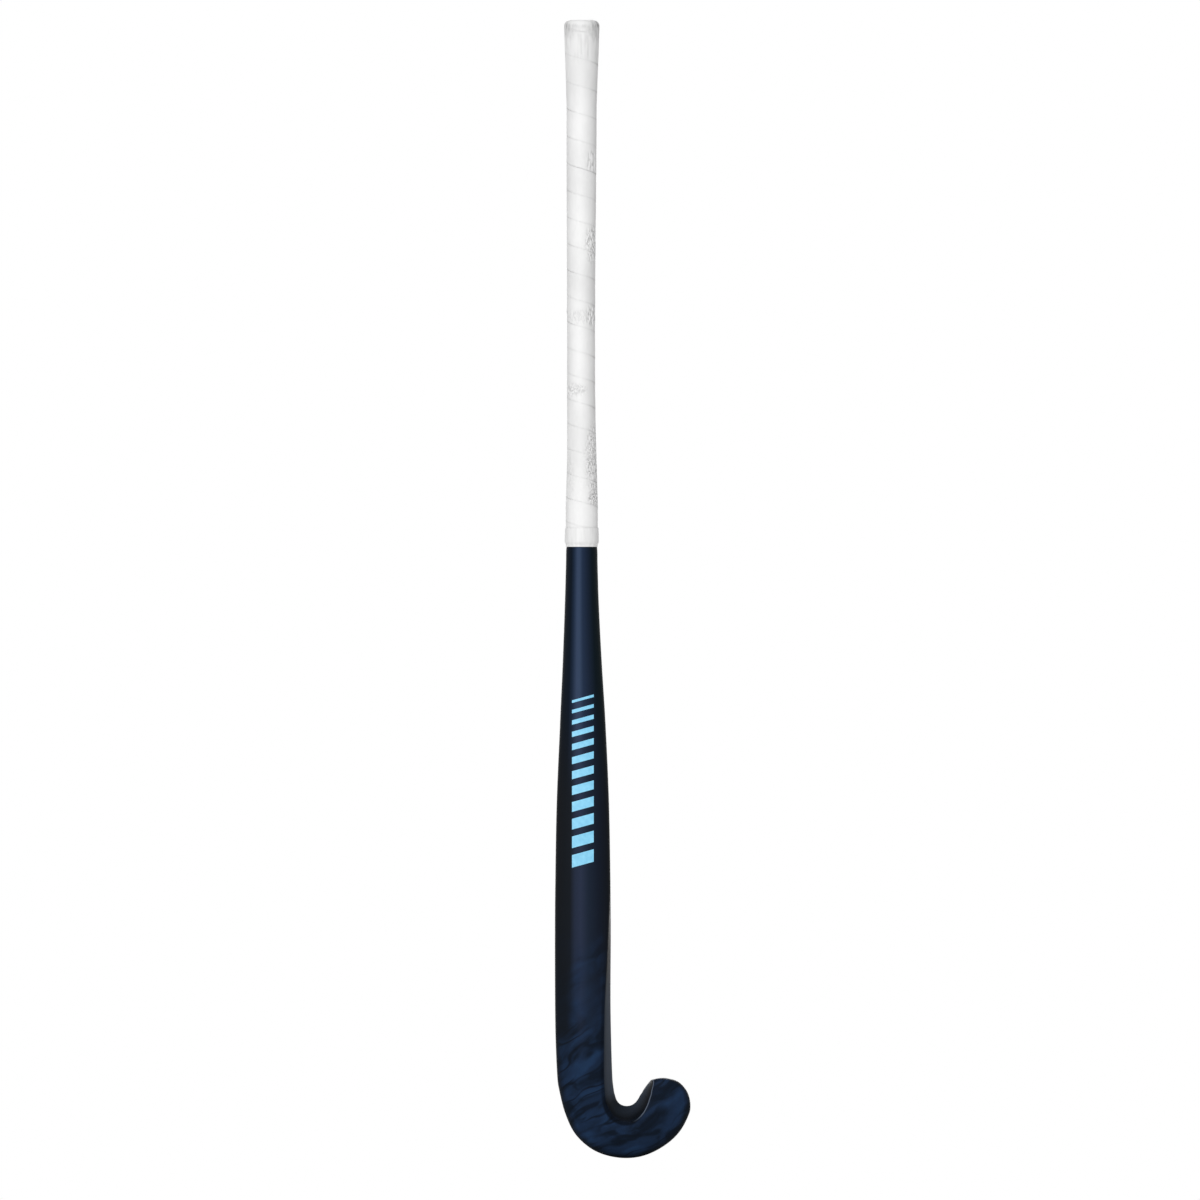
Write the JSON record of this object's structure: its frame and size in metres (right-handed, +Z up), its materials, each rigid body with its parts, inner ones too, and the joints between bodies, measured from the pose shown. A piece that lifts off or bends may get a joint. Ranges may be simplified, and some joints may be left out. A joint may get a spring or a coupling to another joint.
{
  "type": "field hockey goalkeeper stick",
  "caption": "Composite field hockey goalkeeper stick: hooked flat-faced head, bowed shaft, white tape-wound grip with a rounded butt cap.",
  "frame": {"origin": "middle of the box's bottom, level with the lowest point of the head, with the stick standing on its head", "axes": "+Z up the straight handle to the butt, +X from the heel to the toe, +Y out of the flat hitting face; the rounded back, which the picture shows, looks along -Y"},
  "size_m": [0.1136, 0.0586, 0.9526],
  "materials": {
    "lacquered_laminate": "satin navy lacquer over carbon and glass fibre laminate",
    "bare_laminate": "bare moulded laminate",
    "core_foam": "rigid polyurethane foam",
    "plug_foam": "rigid polyurethane foam",
    "cap_rubber": "white moulded elastomer",
    "grip_film": "white polyurethane grip tape, matt",
    "finishing_film": "white glossy finishing tape"
  },
  "bodies": {
    "root": {"stick_shell": "lacquered_laminate", "centre_web": "bare_laminate", "head_core": "core_foam", "handle_plug": "plug_foam", "butt_cap": "cap_rubber", "grip_tape": "grip_film", "finishing_tape": "finishing_film"}
  },
  "joints": []
}
